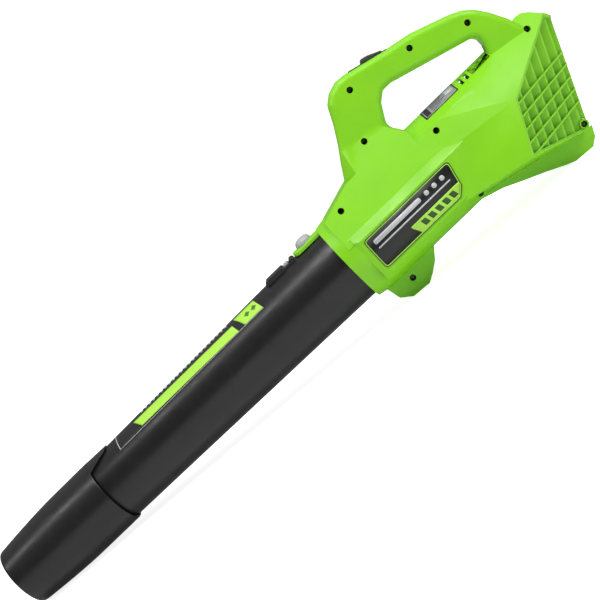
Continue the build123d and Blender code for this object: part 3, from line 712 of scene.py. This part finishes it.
for side, label in ((1, "left"), (-1, "right")):
    node = "badge_" + label

    def onPad(u, v, lift):
        return place(u, side * (54.0 + lift), v)

    def badgeInk(name, mesh, finish):
        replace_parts(addPiece(node + "." + name, mesh, finish, "tool"), node)

    outer = roundedOutline(badgeCorners, 5)
    badgeInk("film", prismMesh(node + "Film", outer, 0.0, badge["film"], onPad), "badge_film")
    first = roundedOutline(shrunk(badgeCorners, 0.1), 4.9)
    second = roundedOutline(shrunk(badgeCorners, 1.1), 4.2)
    badgeInk("edge", ringMesh(node + "Edge", first, second, 0.48, badge["ink"], onPad), "print_dark")
    third = roundedOutline(shrunk(badgeCorners, 1.9), 3.6)
    badgeInk("line", ringMesh(node + "Line", second, third, 0.48, badge["ink"] - 0.02, onPad), "print_lime")
    stripe = roundedOutline([(-4, -13.5), (-73.4, -13.5), (-70.2, -18.2), (-63, -25.4), (-10, -25.4)], 1.5)
    badgeInk("stripe", prismMesh(node + "Stripe", stripe, 0.48, badge["ink"], onPad), "print_lime")
    for number in range(5):
        start = -16 - 10 * number
        tick = roundedOutline([(start, -16), (start - 6.5, -16), (start - 8.5, -23), (start - 2, -23)], 0.6)
        badgeInk("tick%d" % number, prismMesh(node + "Tick%d" % number, tick, 0.6, badge["ink"] + 0.05, onPad),
                 "print_dark")
    for name, (front, rear, high, low) in (("bar", (34, -32, 4.0, -1.4)), ("rule", (34, -68, -5.2, -6.8))):
        bar = roundedOutline([(front, high), (rear, high), (rear, low), (front, low)], 0.45 * (high - low))
        badgeInk(name, prismMesh(node + "Bar", bar, 0.48, badge["ink"], onPad), "print_pale")
    for number in range(3):
        middle, reach = -41 - 11 * number, 2.7
        low, high = 1.3 - reach, 1.3 + reach
        dot = roundedOutline([(middle + reach, high), (middle - reach, high), (middle - reach, low),
                              (middle + reach, low)], 2.6)
        badgeInk("dot%d" % number, prismMesh(node + "Dot", dot, 0.48, badge["ink"], onPad), "print_pale")
print("badges ready")


plate = dict(crest=60.0, slope=21.8)


def onRoof(u, v, lift, side=1):
    # v down the slope from the crest, lift off the roof
    slope = math.radians(plate["slope"])
    return place(u, side * (v * math.cos(slope) + lift * math.sin(slope)),
                 plate["crest"] - v * math.sin(slope) + lift * math.cos(slope))


for side, label in ((1, "left"), (-1, "right")):
    def onSide(u, v, lift):
        return onRoof(u, v, lift, side)

    def labelInk(name, corners, low, high, finish, round=0.8):
        mesh = prismMesh("label" + name + label, roundedOutline(corners, round), low, high, onSide)
        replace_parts(addPiece("rating_label." + name + "." + label, mesh, finish, "tool"), "rating_label")

    labelInk("foil", [(-141, 0.25), (-95, 0.25), (-95, 22.2), (-141, 22.2)], 0.0, 0.42, "badge_film", 1.4)
    labelInk("face", [(-139.6, 0.4), (-96.6, 0.4), (-96.6, 20.8), (-139.6, 20.8)], 0.40, 0.50, "label_film")
    labelInk("head", [(-104, 2), (-98, 2), (-98, 19), (-104, 19)], 0.48, 0.56, "badge_film", 0.5)
    labelInk("patch", [(-138, 3), (-128, 3), (-128, 12), (-138, 12)], 0.48, 0.56, "print_pale", 0.5)
    for number in range(7):
        start = 2.5 + 2.5 * number
        last = -126 + (number % 3) * 3
        line = [(last, start), (-106.5, start), (-106.5, start + 0.9), (last, start + 0.9)]
        labelInk("line%d" % number, line, 0.48, 0.55, "badge_film", 0.3)
print("rating label ready")


def loosePieces(node):
    # separate lumps of a node's mesh as (middle, low, high)
    mesh = mergedMesh(node, node + ".islands")
    bm = bmesh.new()
    bm.from_mesh(mesh)
    left, lumps = set(bm.verts), []
    while left:
        stack, found = [left.pop()], []
        while stack:
            vert = stack.pop()
            found.append(vert.co.copy())
            for edge in vert.link_edges:
                other = edge.other_vert(vert)
                if other in left:
                    left.remove(other)
                    stack.append(other)
        low = Vector([min(p[i] for p in found) for i in range(3)])
        high = Vector([max(p[i] for p in found) for i in range(3)])
        lumps.append(((low + high) / 2, low, high))
    bm.free()
    bpy.data.meshes.remove(mesh)
    return lumps


def screwTree(name):
    # pan head with a crossed recess and a shank, copied to every point of the input
    tree = bpy.data.node_groups.new(name, "GeometryNodeTree")
    tree.interface.new_socket("Geometry", in_out="INPUT", socket_type="NodeSocketGeometry")
    sockets = {}
    for label in ("Head Radius", "Head Height", "Shank Radius", "Shank Length", "Recess Width", "Recess Length"):
        sockets[label] = tree.interface.new_socket(label, in_out="INPUT", socket_type="NodeSocketFloat")
    sockets["Finish"] = tree.interface.new_socket("Finish", in_out="INPUT", socket_type="NodeSocketMaterial")
    tree.interface.new_socket("Geometry", in_out="OUTPUT", socket_type="NodeSocketGeometry")
    nodes, links = tree.nodes, tree.links
    start, end = nodes.new("NodeGroupInput"), nodes.new("NodeGroupOutput")

    def rod(radius, depth):
        node = nodes.new("GeometryNodeMeshCylinder")
        node.inputs["Vertices"].default_value = 40
        node.inputs["Side Segments"].default_value = 1
        links.new(radius, node.inputs["Radius"])
        links.new(depth, node.inputs["Depth"])
        return node.outputs["Mesh"]

    def moved(geometry, height):
        shift = nodes.new("ShaderNodeCombineXYZ")
        links.new(height, shift.inputs["Z"])
        node = nodes.new("GeometryNodeTransform")
        links.new(geometry, node.inputs["Geometry"])
        links.new(shift.outputs[0], node.inputs["Translation"])
        return node.outputs["Geometry"]

    def half(value, factor=0.5):
        return mathNode(tree, "MULTIPLY", value, factor)

    height = start.outputs["Head Height"]
    dish = nodes.new("GeometryNodeMeshUVSphere")
    dish.inputs["Segments"].default_value = 40
    dish.inputs["Rings"].default_value = 24
    links.new(mathNode(tree, "MULTIPLY", start.outputs["Head Radius"], 1.45), dish.inputs["Radius"])
    lowered = moved(dish.outputs["Mesh"], mathNode(tree, "MULTIPLY_ADD", start.outputs["Head Radius"], -1.45,
                                                   height))
    block = moved(rod(start.outputs["Head Radius"], height), half(height))
    pan = nodes.new("GeometryNodeMeshBoolean")
    pan.operation = "INTERSECT"
    pan.solver = "EXACT"
    links.new(block, pan.inputs["Mesh 2"])
    links.new(lowered, pan.inputs["Mesh 2"])
    recess = nodes.new("GeometryNodeMeshBoolean")
    recess.operation = "DIFFERENCE"
    recess.solver = "EXACT"
    links.new(pan.outputs["Mesh"], recess.inputs["Mesh 1"])
    for wide, tall in (("Recess Length", "Recess Width"), ("Recess Width", "Recess Length")):
        size = nodes.new("ShaderNodeCombineXYZ")
        links.new(start.outputs[wide], size.inputs["X"])
        links.new(start.outputs[tall], size.inputs["Y"])
        links.new(height, size.inputs["Z"])
        bar = nodes.new("GeometryNodeMeshCube")
        links.new(size.outputs[0], bar.inputs["Size"])
        links.new(moved(bar.outputs["Mesh"], height), recess.inputs["Mesh 2"])
    shank = moved(rod(start.outputs["Shank Radius"], start.outputs["Shank Length"]),
                  half(start.outputs["Shank Length"], -0.49))
    both = nodes.new("GeometryNodeJoinGeometry")
    links.new(recess.outputs["Mesh"], both.inputs["Geometry"])
    links.new(shank, both.inputs["Geometry"])
    spread = nodes.new("GeometryNodeInstanceOnPoints")
    links.new(start.outputs["Geometry"], spread.inputs["Points"])
    links.new(both.outputs["Geometry"], spread.inputs["Instance"])
    spin = nodes.new("FunctionNodeRandomValue")
    spin.data_type = "FLOAT"
    spin.inputs["Max"].default_value = 1.5
    spin.inputs["Seed"].default_value = 7
    angles = nodes.new("ShaderNodeCombineXYZ")
    links.new(spin.outputs[1], angles.inputs["Z"])
    twist = nodes.new("GeometryNodeRotateInstances")
    links.new(spread.outputs["Instances"], twist.inputs["Instances"])
    links.new(angles.outputs[0], twist.inputs["Rotation"])
    real = nodes.new("GeometryNodeRealizeInstances")
    links.new(twist.outputs["Instances"], real.inputs["Geometry"])
    paint = nodes.new("GeometryNodeSetMaterial")
    links.new(real.outputs["Geometry"], paint.inputs["Geometry"])
    links.new(start.outputs["Finish"], paint.inputs["Material"])
    links.new(paint.outputs["Geometry"], end.inputs["Geometry"])
    return tree, sockets


def grownMesh(name, points, tree, sockets, values):
    # runs a geometry tree over a cloud of points and keeps the plain mesh
    cloud = bpy.data.meshes.new(name + "Points")
    cloud.from_pydata(points, [], [])
    holder = bpy.data.objects.new(name + "Points", cloud)
    bpy.context.scene.collection.objects.link(holder)
    modifier = holder.modifiers.new("grow", "NODES")
    modifier.node_group = tree
    for label, value in values.items():
        modifier[sockets[label].identifier] = value
    bpy.context.view_layer.update()
    depsgraph = bpy.context.evaluated_depsgraph_get()
    mesh = bpy.data.meshes.new_from_object(holder.evaluated_get(depsgraph), depsgraph=depsgraph)
    mesh.name = name
    bpy.data.objects.remove(holder)
    bpy.data.meshes.remove(cloud)
    return mesh


screw = {"Head Radius": 0.0034, "Head Height": 0.0024, "Shank Radius": 0.002, "Shank Length": 0.0155,
         "Recess Width": 0.0009, "Recess Length": 0.0036}
lumps = loosePieces("housing_screws")
# the points lie flat, so that the heads grow upwards; afterwards the whole set is turned to the left side
flat = [(middle.x, -middle.z, high.y - screw["Head Height"]) for middle, low, high in lumps]
screwGrowth, screwSockets = screwTree("screwGrowth")
screwMesh = grownMesh("housing_screws.set", flat, screwGrowth, screwSockets,
                      {**screw, "Finish": finishes["screw_steel"]})
screwMesh.transform(Matrix(((1, 0, 0, 0), (0, 0, 1, 0), (0, -1, 0, 0), (0, 0, 0, 1))))
piece = addPiece("housing_screws.set", buildMesh("housing_screws.set", [v.co[:] for v in screwMesh.vertices],
                                                 [p.vertices[:] for p in screwMesh.polygons]), "screw_steel", "tool")
softened(piece, 0.00012, 2, 35)
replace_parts(piece, "housing_screws")
print("screws ready:", len(lumps))
